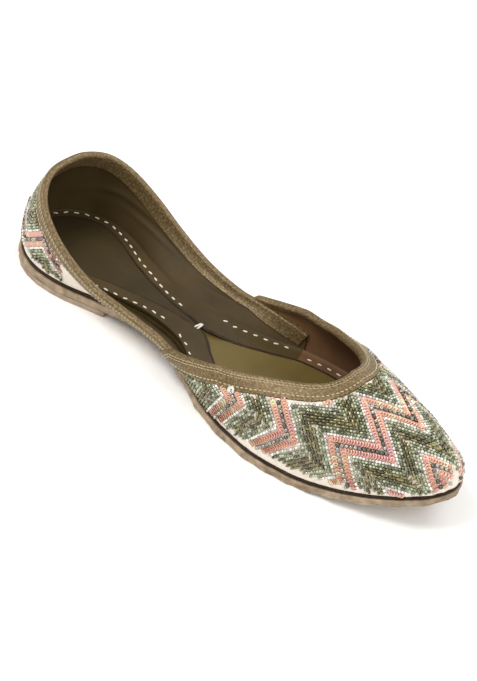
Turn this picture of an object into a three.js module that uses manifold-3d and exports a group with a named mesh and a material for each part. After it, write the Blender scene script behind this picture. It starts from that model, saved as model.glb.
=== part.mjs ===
// Mojari: a flat leather slip-on with a low, wide collar, a rounded narrow toe and a thin sole.
// Millimetres, +Z up. The shoe points along +X and stands on z = 0. It is the same left and right.

import * as THREE from 'three';
import { mergeVertices } from 'three/addons/utils/BufferGeometryUtils.js';
import Module from 'manifold-3d';

const wasm = await Module();
wasm.setup();

// Driving dimensions.
const LENGTH = 246; // last, heel to toe along the feather line
const BALL_WIDTH = 75; // last, widest place of the forefoot at the feather line
const HEEL_HEIGHT = 51; // collar at the back of the heel, above the floor

const QUARTER_WALL = 1.5; // quarter leather with its lining, laid inside the last's surface
const VAMP_WALL = 1.4; // vamp leather with its fabric, laid outside the last's surface
const SEWN = 0.4; // how far the two walls sink into each other where they are sewn together

const GAP = 0.3; // between pieces that lie against each other
const BINDING = 0.6; // binding leather
const BINDING_WIDTH = 7.5; // binding, from the edge down
const VAMP_TURN_IN = 2.5; // short inner leg of the vamp's binding

const OUTSOLE = 3.4;
const OUTSOLE_MARGIN = 1.4; // outsole beyond the upper
const MIDSOLE = 1.4;
const MIDSOLE_INSET = 0.7; // midsole inside the upper's outer face
const LIFT = 3; // heel lift
const LIFT_LENGTH = 62;
const INSOLE = 2;
const SOCK = 1;
const SOCK_LENGTH = 103;

const ARCH = 3.6; // underside of the outsole at the waist, above the floor
const ARCH_AT = 96;
const BALL_START = 134; // flat stretch under the ball
const BALL_END = 188;
const TOE_SPRING = 16;
const SPRING_CURVE = 1.6; // power of the rise from the ball to the toe
const HANDLE = 0.38; // how full the ribs bulge, in parts of their chord

// The last, one row for each rib from the back of the heel to the tip of the toe. A rib runs in a plane
// from the feather line up to the collar, or over to the ridge of the instep.
// foot, head: where the rib starts and ends along the shoe, in % of LENGTH
// base, half: half widths at those places, in % of half the BALL_WIDTH
// up: height of the rib's end, in % of HEEL_HEIGHT
// flare, curl: how far the rib leans outward at its start and at its end, in degrees
// quarter, vamp: how far up the rib each leather reaches, in % of the way to the shoe's open edge
// throat: half width of the throat where it cuts the rib short, in % of half the BALL_WIDTH
const COLUMNS = ['foot', 'base', 'flare', 'head', 'half', 'up', 'curl', 'quarter', 'vamp', 'throat'];
const LAST = [
  [0.0, 0, 8, 4.6, 0, 100, -26, 100, 0],
  [1.4, 32, 8, 5.1, 31, 99, -22, 100, 0],
  [5.2, 57, 9, 7.4, 60, 94, -14, 100, 0],
  [10.6, 68, 11, 11.2, 79, 82.5, -4, 100, 0],
  [17.0, 64, 20, 17.2, 88, 66, 6, 100, 0],
  [24.4, 49, 38, 24.6, 87, 50, 12, 100, 0],
  [32.5, 39, 50, 32.5, 80, 41.5, 14, 100, 0],
  [40.0, 42, 50, 40.0, 77, 37.7, 6, 100, 40],
  [45.0, 52, 45, 45.0, 81, 38.7, -10, 92, 100],
  [50.5, 68, 36, 50.5, 83, 46.3, -25, 68, 100, 83],
  [57.0, 86, 26, 57.0, 78, 58, -40, 40, 100, 80],
  [63.0, 95, 18, 63.0, 46, 76.5, -60, 0, 100, 71],
  [68.0, 98, 15, 68.0, 15, 82, -80, 0, 100, 58],
  [72.0, 95.5, 14, 72.0, 0, 82, -90, 0, 100, 41],
  [75.6, 91, 13, 74.8, 0, 80.5, -90, 0, 100, 0],
  [79.4, 84.5, 12, 78.8, 0, 78.5, -90, 0, 100],
  [83.4, 76.5, 11, 82.4, 0, 75.8, -90, 0, 100],
  [87.6, 66.5, 10, 86.2, 0, 72.5, -90, 0, 100],
  [91.6, 55, 9, 90.0, 0, 69, -90, 0, 100],
  [95.4, 41, 7, 93.6, 0, 65, -90, 0, 100],
  [98.4, 24, 6, 96.6, 0, 61.2, -90, 0, 100],
  [99.8, 0, 5, 98.2, 0, 58.8, -90, 0, 100],
].map((row) => Object.fromEntries(row.map((value, i) => [COLUMNS[i], value])));
const TIP = LAST.length - 1;
const RIDGE = LAST.findIndex((row) => row.curl === -90);
const THROAT_START = LAST.findIndex((row) => row.throat > 0);
const THROAT_FRONT = LAST.findIndex((row) => row.throat === 0);
const QUARTER_END = LAST.findIndex((row) => row.quarter === 0) - 1;
const VAMP_START = LAST.findIndex((row) => row.vamp > 0);

const SCALE = {
  foot: LENGTH / 100,
  head: LENGTH / 100,
  base: BALL_WIDTH / 200,
  half: BALL_WIDTH / 200,
  up: HEEL_HEIGHT / 100,
  flare: Math.PI / 180,
  curl: Math.PI / 180,
  throat: BALL_WIDTH / 200,
  quarter: 1 / 100,
  vamp: 1 / 100,
};
const ACROSS = ['base', 'half']; // columns that change sign on the other side of the shoe

// One column of the table at a rib number, smooth through the rows and mirrored past both ends.
function column(name, rib) {
  const row = Math.min(Math.floor(rib), TIP - 1);
  const part = rib - row;
  const sign = ACROSS.includes(name) ? -1 : 1;
  const value = (index) => {
    if (index < 0) return sign * LAST[-index][name];
    if (index > TIP) return sign * LAST[2 * TIP - index][name];
    return LAST[index][name];
  };
  const [before, start, end, after] = [-1, 0, 1, 2].map((step) => value(row + step));
  const slopeIn = (end - before) / 2;
  const slopeOut = (after - start) / 2;
  const p2 = part * part;
  const p3 = p2 * part;
  const smooth = (2 * p3 - 3 * p2 + 1) * start + (p3 - 2 * p2 + part) * slopeIn
    + (3 * p2 - 2 * p3) * end + (p3 - p2) * slopeOut;
  return smooth * SCALE[name];
}

// The same column with straight lines between the rows.
function straight(name, rib) {
  const row = Math.min(Math.floor(rib), TIP - 1);
  return THREE.MathUtils.lerp(LAST[row][name], LAST[row + 1][name], rib - row) * SCALE[name];
}

// Height of the outsole's underside above the floor.
function underside(x) {
  if (x < LIFT_LENGTH) return LIFT;
  if (x < ARCH_AT) {
    const rise = THREE.MathUtils.smoothstep(x, LIFT_LENGTH, ARCH_AT);
    return THREE.MathUtils.lerp(LIFT, ARCH, rise);
  }
  if (x < BALL_START) return ARCH * (1 - THREE.MathUtils.smoothstep(x, ARCH_AT, BALL_START));
  if (x < BALL_END) return 0;
  return TOE_SPRING * ((x - BALL_END) / (LENGTH - BALL_END)) ** SPRING_CURVE;
}

// Height at which the upper stands on the midsole.
function seat(x) {
  return underside(x) + OUTSOLE + MIDSOLE + 2 * GAP;
}

// Outward direction of the feather line, seen from above.
function outward(rib) {
  const step = 0.02;
  const low = Math.max(rib - step, 0);
  const high = Math.min(rib + step, TIP);
  const along = column('foot', high) - column('foot', low);
  const across = column('base', high) - column('base', low);
  if (rib === 0) return new THREE.Vector3(-1, 0, 0);
  if (rib === TIP) return new THREE.Vector3(1, 0, 0);
  return new THREE.Vector3(-across, along, 0).normalize();
}

const ribCurves = new Map();

// The rib as a cubic curve: up from the feather line, over to the collar, the throat or the ridge.
function ribCurve(rib) {
  if (ribCurves.has(rib)) return ribCurves.get(rib);
  const foot = new THREE.Vector3(column('foot', rib), column('base', rib), 0);
  foot.z = seat(foot.x);
  const head = new THREE.Vector3(column('head', rib), column('half', rib), column('up', rib));
  const out = outward(rib);
  const flare = column('flare', rib);
  const curl = column('curl', rib);
  const reach = foot.distanceTo(head) * HANDLE;
  const rising = out.clone().multiplyScalar(Math.sin(flare)).setZ(Math.cos(flare));
  const arriving = out.clone().multiplyScalar(Math.sin(curl)).setZ(Math.cos(curl));
  if (rib >= RIDGE) {
    const slope = (column('up', Math.min(rib + 0.1, TIP)) - column('up', rib - 0.1))
      / (column('head', Math.min(rib + 0.1, TIP)) - column('head', rib - 0.1));
    arriving.z = arriving.x * slope;
  }
  const curve = new THREE.CubicBezierCurve3(
    foot,
    foot.clone().addScaledVector(rising, reach),
    head.clone().addScaledVector(arriving.normalize(), -reach),
    head,
  );
  ribCurves.set(rib, curve);
  return curve;
}

// A point on the last, raised by a distance along its outward normal. side is 1 or -1.
function onLast(rib, rise, height, side) {
  const step = 0.01;
  const low = Math.max(rib - step, 0);
  const high = Math.min(rib + step, TIP);
  const point = ribCurve(rib).getPoint(rise);
  const along = ribCurve(high).getPoint(rise).sub(ribCurve(low).getPoint(rise));
  const upward = ribCurve(rib).getPoint(rise + step).sub(ribCurve(rib).getPoint(rise - step));
  const onAxis = rib === 0 || rib === TIP || (rise === 1 && rib >= RIDGE);
  if (rib === 0 || rib === TIP) along.set(0, along.y, 0);
  const normal = upward.cross(along);
  if (onAxis) normal.y = 0;
  normal.normalize();
  point.addScaledVector(normal, height);
  if (onAxis) point.y = 0;
  point.y *= side;
  return point;
}

// Gathers faces by their corner points and joins them into one closed solid.
class Faces {
  constructor() {
    this.corners = [];
  }

  triangle(a, b, c) {
    this.corners.push(a, b, c);
  }

  quad(a, b, c, d) {
    this.triangle(a, b, c);
    this.triangle(a, c, d);
  }

  solid() {
    const geometry = mergeVertices(new THREE.BufferGeometry().setFromPoints(this.corners), 1e-4);
    const index = geometry.index.array;
    const kept = [];
    for (let i = 0; i < index.length; i += 3) {
      const [a, b, c] = index.slice(i, i + 3);
      if (a !== b && b !== c && c !== a) kept.push(a, b, c);
    }
    const mesh = new wasm.Mesh({
      numProp: 3,
      vertProperties: new Float32Array(geometry.attributes.position.array),
      triVerts: new Uint32Array(kept),
    });
    return new wasm.Manifold(mesh);
  }
}

const openEdges = new Map();

// How far up its rib the shoe's open edge lies: the whole way, or to where the throat cuts the rib.
function openEdge(rib) {
  if (rib <= THROAT_START || rib >= THROAT_FRONT) return 1;
  if (openEdges.has(rib)) return openEdges.get(rib);
  const row = Math.floor(rib);
  const squares = [LAST[row].throat ** 2, LAST[row + 1].throat ** 2];
  const half = Math.sqrt(THREE.MathUtils.lerp(...squares, rib - row)) * SCALE.throat;
  const curve = ribCurve(rib);
  let [low, high] = [0.3, 1];
  for (let i = 0; i < 30; i += 1) {
    const middle = (low + high) / 2;
    if (curve.getPoint(middle).y > half) low = middle;
    else high = middle;
  }
  openEdges.set(rib, high);
  return high;
}

const quarterReach = (rib) => straight('quarter', rib) * openEdge(rib);
const vampReach = (rib) => straight('vamp', rib) * openEdge(rib);

const RIB_STEP = 0.5;
const SLAB_STEP = 4; // along the solid that trims the walls to the seat
const LEVELS = 8;
const BELOW = -0.2; // ribs run on below the seat before the walls are trimmed to it
const ROUNDING = [0.25, 0.75, 0.88, 0.96]; // extra ribs where the front of the throat turns
const RIB_HEIGHT = 20; // about the shortest rib, turns a clearance into a part of a rib
const RIB_SPACING = 10; // about the distance between ribs, turns a clearance into a rib number
const STRIDE = 1.2; // longest step of a walk over the last

// Ribs from one number to another in even steps, with the extra ones at the throat.
function ribsBetween(first, last, step = RIB_STEP) {
  const [low, high] = [Math.min(first, last), Math.max(first, last)];
  const count = Math.round((high - low) / step);
  const even = Array.from({ length: count + 1 }, (_, i) => low + ((high - low) * i) / count);
  const turning = ROUNDING.map((part) => THROAT_FRONT - 1 + part);
  const extra = turning.filter((rib) => rib > low && rib < high);
  const chosen = [...new Set([...even, ...extra])].sort((a, b) => a - b);
  return first < last ? chosen : chosen.reverse();
}

// Round the heel: from the end of one quarter wing to the other.
function roundTheHeel(end) {
  const near = ribsBetween(end, 0).map((rib) => ({ rib, side: -1 }));
  const far = ribsBetween(0, end).slice(1).map((rib) => ({ rib, side: 1 }));
  return [...near, ...far];
}

// Round the toe: from the end of one vamp wing to the other.
function roundTheToe(start) {
  const far = ribsBetween(start, TIP).map((rib) => ({ rib, side: 1 }));
  const near = ribsBetween(TIP, start).slice(1).map((rib) => ({ rib, side: -1 }));
  return [...far, ...near];
}

// A wall between two heights above the last, from below the seat up to reach(rib).
function wall(stations, reach, inner, outer) {
  const faces = new Faces();
  const parts = Array.from({ length: LEVELS + 1 }, (_, j) => j / LEVELS);
  const grid = (height) => stations.map(({ rib, side }) => parts
    .map((part) => onLast(rib, THREE.MathUtils.lerp(BELOW, reach(rib), part), height, side)));
  const inside = grid(inner);
  const outside = grid(outer);
  for (let i = 0; i < stations.length - 1; i += 1) {
    for (let j = 0; j < LEVELS; j += 1) {
      faces.quad(outside[i][j], outside[i][j + 1], outside[i + 1][j + 1], outside[i + 1][j]);
      faces.quad(inside[i][j], inside[i + 1][j], inside[i + 1][j + 1], inside[i][j + 1]);
    }
    faces.quad(inside[i][0], outside[i][0], outside[i + 1][0], inside[i + 1][0]);
    const open = Math.max(stations[i].rib, stations[i + 1].rib) <= THROAT_FRONT;
    if (open) {
      faces.quad(outside[i][LEVELS], inside[i][LEVELS], inside[i + 1][LEVELS], outside[i + 1][LEVELS]);
    }
  }
  const end = stations.length - 1;
  for (let j = 0; j < LEVELS; j += 1) {
    faces.quad(outside[0][j], inside[0][j], inside[0][j + 1], outside[0][j + 1]);
    faces.quad(outside[end][j], outside[end][j + 1], inside[end][j + 1], inside[end][j]);
  }
  return faces.solid();
}

// The quarter and the vamp as walls, grown by a clearance on every side.
function quarterWall(grow = 0) {
  const reach = (rib) => quarterReach(rib) + grow / RIB_HEIGHT;
  return wall(roundTheHeel(QUARTER_END), reach, -QUARTER_WALL - grow, grow);
}

function vampWall(grow = 0) {
  const reach = (rib) => {
    const raised = vampReach(rib) + grow / RIB_HEIGHT;
    return rib < RIDGE ? raised : Math.min(raised, 1);
  };
  const stations = roundTheToe(VAMP_START);
  if (grow > 0) {
    stations.unshift({ rib: VAMP_START - grow / RIB_SPACING, side: 1 });
    stations.push({ rib: VAMP_START - grow / RIB_SPACING, side: -1 });
  }
  return wall(stations, reach, -SEWN - grow, VAMP_WALL + grow);
}

// Everything below the seat of the upper, raised by a clearance.
function belowSeat(grow = 0) {
  const faces = new Faces();
  const halfWidth = BALL_WIDTH;
  const bottom = -HEEL_HEIGHT;
  const xs = [];
  for (let x = -SLAB_STEP; x <= LENGTH + 2 * SLAB_STEP; x += SLAB_STEP) xs.push(x);
  const section = (x) => [
    new THREE.Vector3(x, -halfWidth, bottom),
    new THREE.Vector3(x, halfWidth, bottom),
    new THREE.Vector3(x, halfWidth, seat(x) + grow),
    new THREE.Vector3(x, -halfWidth, seat(x) + grow),
  ];
  const sections = xs.map(section);
  faces.quad(...[...sections[0]].reverse());
  faces.quad(...sections[sections.length - 1]);
  for (let i = 0; i < sections.length - 1; i += 1) {
    for (let j = 0; j < 4; j += 1) {
      const k = (j + 1) % 4;
      faces.quad(sections[i][j], sections[i][k], sections[i + 1][k], sections[i + 1][j]);
    }
  }
  return faces.solid();
}

// The largest body of a cut solid.
function largest(solid) {
  const bodies = solid.decompose();
  return bodies.reduce((best, body) => (body.volume() > best.volume() ? body : best));
}

// The rib whose foot lies at a distance from the back of the heel.
function ribAt(x) {
  let [low, high] = [0, TIP];
  while (high - low > 0.001) {
    const middle = (low + high) / 2;
    if (column('foot', middle) < x) low = middle;
    else high = middle;
  }
  return low;
}

// A flat layer under the foot: between two heights, from one rib to another.
function layer(margin, bottom, top, lastRib = TIP) {
  const faces = new Faces();
  const stations = ribsBetween(0, lastRib).map((rib) => {
    const foot = ribCurve(rib).v0.clone().addScaledVector(outward(rib), margin(rib));
    if (rib === 0 || rib === TIP) foot.y = 0;
    return foot;
  });
  const corner = (foot, side, height) => new THREE.Vector3(foot.x, side * foot.y, height(foot.x));
  for (let i = 0; i < stations.length - 1; i += 1) {
    const [a, b] = [stations[i], stations[i + 1]];
    faces.quad(corner(a, -1, top), corner(b, -1, top), corner(b, 1, top), corner(a, 1, top));
    faces.quad(corner(a, 1, bottom), corner(b, 1, bottom), corner(b, -1, bottom), corner(a, -1, bottom));
    for (const side of [-1, 1]) {
      const low = [corner(a, side, bottom), corner(b, side, bottom)];
      const ring = [...low, corner(b, side, top), corner(a, side, top)];
      if (side === 1) ring.reverse();
      faces.quad(...ring);
    }
  }
  const front = stations[stations.length - 1];
  const frontLow = [corner(front, -1, bottom), corner(front, 1, bottom)];
  faces.quad(...frontLow, corner(front, 1, top), corner(front, -1, top));
  return faces.solid();
}

// How far the upper's outer face stands off the last at the feather line.
function outerFace(rib) {
  const covered = THREE.MathUtils.smoothstep(rib, VAMP_START - 1, VAMP_START + 1);
  return (covered * VAMP_WALL) / Math.cos(column('flare', rib));
}

// The place reached on the far half of the last by going a distance in one heading, in short strides.
function walk(from, heading, distance) {
  const strides = Math.ceil(distance / STRIDE);
  const step = 0.01;
  let { rib, rise } = from;
  for (let i = 0; i < strides; i += 1) {
    const low = Math.max(rib - step, 0);
    const along = ribCurve(rib + step).getPoint(rise).sub(ribCurve(low).getPoint(rise));
    along.divideScalar(rib + step - low);
    const upward = ribCurve(rib).getPoint(rise).sub(ribCurve(rib).getPoint(rise - step)).divideScalar(step);
    const mixed = along.dot(upward);
    const size = along.lengthSq() * upward.lengthSq() - mixed * mixed;
    const a = heading.dot(along);
    const b = heading.dot(upward);
    rib += ((a * upward.lengthSq() - b * mixed) / size) * (distance / strides);
    rise += ((b * along.lengthSq() - a * mixed) / size) * (distance / strides);
    rib = Math.max(rib, 0);
    rise = Math.min(rise, 1);
  }
  return { rib, rise };
}

// One station of a binding: places at several distances from the edge, on the far half of the shoe.
function acrossEdge(rib, reach, away) {
  const at = (place) => onLast(place, reach(place), 0, 1);
  const edgePoint = at(rib);
  const onAxis = rib === 0 || rib === THROAT_FRONT;
  const step = 0.02;
  const tangent = new THREE.Vector3(0, 1, 0);
  if (!onAxis) tangent.copy(at(rib + step)).sub(at(rib - step)).normalize();
  const normal = onLast(rib, reach(rib), 1, 1).sub(edgePoint);
  const heading = tangent.clone().cross(normal).normalize();
  if (heading.dot(away) < 0) heading.negate();
  return (distance, height) => {
    if (distance <= 0) {
      return edgePoint.clone().addScaledVector(normal, height).addScaledVector(heading, distance);
    }
    const place = walk({ rib, rise: reach(rib) }, heading, distance);
    const point = onLast(place.rib, place.rise, height, 1);
    if (onAxis) point.y = 0;
    return point;
  };
}

// Round the throat: from the tip of one vamp wing to the other.
function roundTheThroat() {
  const far = ribsBetween(VAMP_START, THROAT_FRONT).map((rib) => ({ rib, side: 1 }));
  const near = far.slice(0, -1).reverse().map(({ rib }) => ({ rib, side: -1 }));
  return [...far, ...near];
}

// A folded strip over an edge: outer leg, fold and inner leg, swept along the stations.
// inner and outer are the faces of the leather it is folded over.
function binding({ stations, reach, away, inner, outer, turnIn }, grow = 0) {
  const leg = (width, parts, height) => parts.map((part) => [width * part + grow, height]);
  const fold = -GAP - BINDING - grow;
  const profile = [
    ...leg(BINDING_WIDTH, [1, 0.66, 0.33], outer + GAP + BINDING + grow),
    [fold / 2, outer + GAP + BINDING + grow],
    [fold, outer],
    [fold, inner],
    [fold / 2, inner - GAP - BINDING - grow],
    ...leg(turnIn, [0.33, 0.66, 1], inner - GAP - BINDING - grow),
    ...leg(turnIn, [1, 0.66, 0.33], inner - GAP + grow),
    [grow - GAP, inner - GAP + grow],
    [grow - GAP, outer + GAP - grow],
    ...leg(BINDING_WIDTH, [0.33, 0.66, 1], outer + GAP - grow),
  ];
  const sections = stations.map(({ rib, side }) => {
    const across = acrossEdge(rib, reach, away);
    const mirror = new THREE.Vector3(1, side, 1);
    return profile.map(([distance, height]) => across(distance, height).multiply(mirror));
  });
  const faces = new Faces();
  for (let i = 0; i < sections.length - 1; i += 1) {
    for (let j = 0; j < profile.length; j += 1) {
      const k = (j + 1) % profile.length;
      faces.quad(sections[i][j], sections[i][k], sections[i + 1][k], sections[i + 1][j]);
    }
  }
  const outline = profile.map(([distance, height]) => new THREE.Vector2(distance, height));
  const last = sections[sections.length - 1];
  for (const [a, b, c] of THREE.ShapeUtils.triangulateShape(outline, [])) {
    faces.triangle(sections[0][a], sections[0][c], sections[0][b]);
    faces.triangle(last[a], last[b], last[c]);
  }
  return faces.solid();
}

const QUARTER_EDGE = {
  stations: roundTheHeel(QUARTER_END),
  reach: quarterReach,
  away: new THREE.Vector3(0, 0, -1),
  inner: -QUARTER_WALL,
  outer: 0,
  turnIn: BINDING_WIDTH,
};
const VAMP_EDGE = {
  stations: roundTheThroat(),
  reach: vampReach,
  away: new THREE.Vector3(0.6, 0, -1),
  inner: -SEWN,
  outer: VAMP_WALL,
  turnIn: VAMP_TURN_IN,
};

const upper = largest(quarterWall().add(vampWall()).subtract(belowSeat()));

function quarterBinding() {
  const walls = vampWall(GAP).add(quarterWall(GAP / 2)).add(upper);
  const clear = walls.add(belowSeat(GAP));
  return largest(binding(QUARTER_EDGE).subtract(clear));
}

function vampBinding() {
  const walls = quarterWall(GAP).add(vampWall(GAP / 2)).add(upper);
  const clear = walls.add(binding(QUARTER_EDGE, GAP)).add(belowSeat(GAP));
  return largest(binding(VAMP_EDGE).subtract(clear));
}

const soleTop = (x) => underside(x) + OUTSOLE;
const insoleMargin = (rib) => -(QUARTER_WALL + GAP) / Math.cos(column('flare', rib));

function outsole() {
  return layer((rib) => outerFace(rib) + OUTSOLE_MARGIN, underside, soleTop);
}

function midsole() {
  const margin = (rib) => outerFace(rib) - MIDSOLE_INSET;
  return layer(margin, (x) => soleTop(x) + GAP, (x) => soleTop(x) + GAP + MIDSOLE);
}

function insole() {
  return layer(insoleMargin, seat, (x) => seat(x) + INSOLE);
}

function heelSock() {
  const bottom = (x) => seat(x) + INSOLE + GAP;
  const front = ribAt(SOCK_LENGTH);
  return layer(insoleMargin, bottom, (x) => bottom(x) + SOCK, front);
}

function heelLift() {
  const front = ribAt(LIFT_LENGTH);
  return layer((rib) => outerFace(rib) + OUTSOLE_MARGIN - GAP, () => 0, () => LIFT - GAP, front);
}

// A named piece with its material.
function piece(name, solid, color, roughness, metalness = 0) {
  const { vertProperties, triVerts } = solid.getMesh();
  const geometry = new THREE.BufferGeometry();
  geometry.setAttribute('position', new THREE.BufferAttribute(vertProperties, 3));
  geometry.setIndex(new THREE.BufferAttribute(triVerts, 1));
  geometry.computeVertexNormals();
  const mesh = new THREE.Mesh(geometry, new THREE.MeshStandardMaterial({ color, roughness, metalness }));
  mesh.name = name;
  return mesh;
}

const mojari = new THREE.Group();
mojari.add(
  piece('upper', upper, 0xe2d3c4, 0.6),
  piece('quarter_binding', quarterBinding(), 0x84694a, 0.45, 0.3),
  piece('vamp_binding', vampBinding(), 0x84694a, 0.45, 0.3),
  piece('insole', insole(), 0x7a6840, 0.55),
  piece('heel_sock', heelSock(), 0x4a3d28, 0.5),
  piece('midsole', midsole(), 0x3b281c, 0.7),
  piece('outsole', outsole(), 0xb9a68c, 0.8),
  piece('heel_lift', heelLift(), 0x9b8468, 0.8),
);
const middle = new THREE.Box3().setFromObject(mojari).getCenter(new THREE.Vector3());
mojari.position.set(-middle.x, -middle.y, 0);

export default mojari;
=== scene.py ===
"""Looks of a beaded mojari: a flat leather slip-on with satin, bound edges, linings and chevrons of beads.

The last is worked out in millimetres from the heel forward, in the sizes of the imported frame, and turned into
metres when a mesh is made. +X points to the toe, +Z up.
"""

import math

import bpy
import numpy as np
from mathutils import Matrix, Vector


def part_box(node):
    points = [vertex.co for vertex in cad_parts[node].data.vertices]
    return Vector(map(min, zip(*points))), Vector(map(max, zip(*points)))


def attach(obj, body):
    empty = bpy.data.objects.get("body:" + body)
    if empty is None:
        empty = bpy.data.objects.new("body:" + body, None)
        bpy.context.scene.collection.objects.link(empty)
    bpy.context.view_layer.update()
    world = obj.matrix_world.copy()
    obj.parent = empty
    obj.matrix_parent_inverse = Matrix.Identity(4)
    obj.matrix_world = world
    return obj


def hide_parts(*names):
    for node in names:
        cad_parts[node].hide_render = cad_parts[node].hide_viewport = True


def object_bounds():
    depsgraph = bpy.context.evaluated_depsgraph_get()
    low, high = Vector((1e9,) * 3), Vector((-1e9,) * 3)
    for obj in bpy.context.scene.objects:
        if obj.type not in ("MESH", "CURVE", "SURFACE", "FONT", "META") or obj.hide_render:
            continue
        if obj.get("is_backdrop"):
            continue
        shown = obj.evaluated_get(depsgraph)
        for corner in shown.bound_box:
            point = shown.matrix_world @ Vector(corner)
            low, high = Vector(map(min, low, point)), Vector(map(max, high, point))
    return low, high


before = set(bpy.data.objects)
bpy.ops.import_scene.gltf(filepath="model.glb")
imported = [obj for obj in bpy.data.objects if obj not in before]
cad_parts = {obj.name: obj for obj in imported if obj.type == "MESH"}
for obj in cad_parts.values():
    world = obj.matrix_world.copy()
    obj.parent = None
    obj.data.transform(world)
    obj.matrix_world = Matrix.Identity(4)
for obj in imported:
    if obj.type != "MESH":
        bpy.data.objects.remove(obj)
cad_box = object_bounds()
rng = np.random.default_rng(7)

# ---------------------------------------------------------------- sizes, from the frame
MM = 0.001
QUARTER_WALL = 1.5
VAMP_WALL = 1.4
SEWN = 0.4
GAP = 0.3
BINDING = 0.6
BINDING_WIDTH = 7.5
VAMP_TURN_IN = 2.5
OUTSOLE = 3.4
OUTSOLE_MARGIN = 1.4
MIDSOLE = 1.4
INSOLE = 2.0
SOCK = 1.0
LIFT = 3.0
LIFT_LENGTH = 62.0
ARCH = 3.6
ARCH_AT = 96.0
BALL_START = 134.0
BALL_END = 188.0
TOE_SPRING = 16.0
SPRING_CURVE = 1.6
HANDLE = 0.38  # length of a rib's Bezier handles, as a part of its chord

COLUMNS = ["foot", "base", "flare", "head", "half", "up", "curl", "quarter", "vamp", "throat"]
# foot, head: rib's start and end in % of the length; base, half: half widths in % of half the ball width
# up: rib's end in % of the heel height; flare, curl: lean at the start and end, in degrees
# quarter, vamp: how far up each leather reaches, in %; throat: half width of the throat, in % as base
LAST = [
    [0.0, 0, 8, 4.6, 0, 100, -26, 100, 0],
    [1.4, 32, 8, 5.1, 31, 99, -22, 100, 0],
    [5.2, 57, 9, 7.4, 60, 94, -14, 100, 0],
    [10.6, 68, 11, 11.2, 79, 82.5, -4, 100, 0],
    [17.0, 64, 20, 17.2, 88, 66, 6, 100, 0],
    [24.4, 49, 38, 24.6, 87, 50, 12, 100, 0],
    [32.5, 39, 50, 32.5, 80, 41.5, 14, 100, 0],
    [40.0, 42, 50, 40.0, 77, 37.7, 6, 100, 40],
    [45.0, 52, 45, 45.0, 81, 38.7, -10, 92, 100],
    [50.5, 68, 36, 50.5, 83, 46.3, -25, 68, 100, 83],
    [57.0, 86, 26, 57.0, 78, 58, -40, 40, 100, 80],
    [63.0, 95, 18, 63.0, 46, 76.5, -60, 0, 100, 71],
    [68.0, 98, 15, 68.0, 15, 82, -80, 0, 100, 58],
    [72.0, 95.5, 14, 72.0, 0, 82, -90, 0, 100, 41],
    [75.6, 91, 13, 74.8, 0, 80.5, -90, 0, 100, 0],
    [79.4, 84.5, 12, 78.8, 0, 78.5, -90, 0, 100],
    [83.4, 76.5, 11, 82.4, 0, 75.8, -90, 0, 100],
    [87.6, 66.5, 10, 86.2, 0, 72.5, -90, 0, 100],
    [91.6, 55, 9, 90.0, 0, 69, -90, 0, 100],
    [95.4, 41, 7, 93.6, 0, 65, -90, 0, 100],
    [98.4, 24, 6, 96.6, 0, 61.2, -90, 0, 100],
    [99.8, 0, 5, 98.2, 0, 58.8, -90, 0, 100],
]
TIP = len(LAST) - 1
TABLE = {name: np.array([row[i] if i < len(row) else 0 for row in LAST], float)
         for i, name in enumerate(COLUMNS)}
RIDGE = int(np.argmax(TABLE["curl"] == -90))
THROAT_START = int(np.argmax(TABLE["throat"] > 0))
THROAT_FRONT = next(i for i, row in enumerate(LAST) if len(row) > 9 and row[9] == 0)
QUARTER_END = int(np.argmax(TABLE["quarter"] == 0)) - 1
VAMP_START = int(np.argmax(TABLE["vamp"] > 0))

sole_low, sole_high = (np.array(corner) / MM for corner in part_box("outsole"))
HEEL_X = sole_low[0] + OUTSOLE_MARGIN
LENGTH = (sole_high[0] - sole_low[0] - 2 * OUTSOLE_MARGIN - VAMP_WALL) / (TABLE["foot"][-1] / 100)
WIDEST = int(np.argmax(TABLE["base"]))
WALL_AT_BALL = VAMP_WALL / math.cos(math.radians(TABLE["flare"][WIDEST]))
BALL_WIDTH = 2 * (sole_high[1] - OUTSOLE_MARGIN - WALL_AT_BALL) / (TABLE["base"][WIDEST] / 100)
HEEL_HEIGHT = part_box("upper")[1].z / MM

SCALE = {"foot": LENGTH / 100, "head": LENGTH / 100, "base": BALL_WIDTH / 200, "half": BALL_WIDTH / 200,
         "up": HEEL_HEIGHT / 100, "flare": math.pi / 180, "curl": math.pi / 180, "throat": BALL_WIDTH / 200,
         "quarter": 0.01, "vamp": 0.01}


# ---------------------------------------------------------------- the last
def unit(v):
    return v / np.maximum(np.linalg.norm(v, axis=-1, keepdims=True), 1e-9)


def column(name, rib):
    """A column of the table at rib numbers, smooth through the rows and mirrored past both ends."""
    rib = np.asarray(rib, float)
    row = np.clip(np.floor(rib), 0, TIP - 1).astype(int)
    part = rib - row
    sign = -1 if name in ("base", "half") else 1
    values = TABLE[name]

    def value(index):
        inside = values[np.clip(index, 0, TIP)]
        before = sign * values[np.clip(-index, 0, TIP)]
        after = sign * values[np.clip(2 * TIP - index, 0, TIP)]
        return np.where(index < 0, before, np.where(index > TIP, after, inside))

    before, start, end, after = (value(row + step) for step in (-1, 0, 1, 2))
    p2, p3 = part ** 2, part ** 3
    smooth = ((2 * p3 - 3 * p2 + 1) * start + (p3 - 2 * p2 + part) * (end - before) / 2
              + (3 * p2 - 2 * p3) * end + (p3 - p2) * (after - start) / 2)
    return smooth * SCALE[name]


def straight(name, rib):
    return np.interp(rib, np.arange(TIP + 1), TABLE[name]) * SCALE[name]


def ease(x, low, high):
    t = np.clip((x - low) / (high - low), 0, 1)
    return t * t * (3 - 2 * t)


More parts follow.
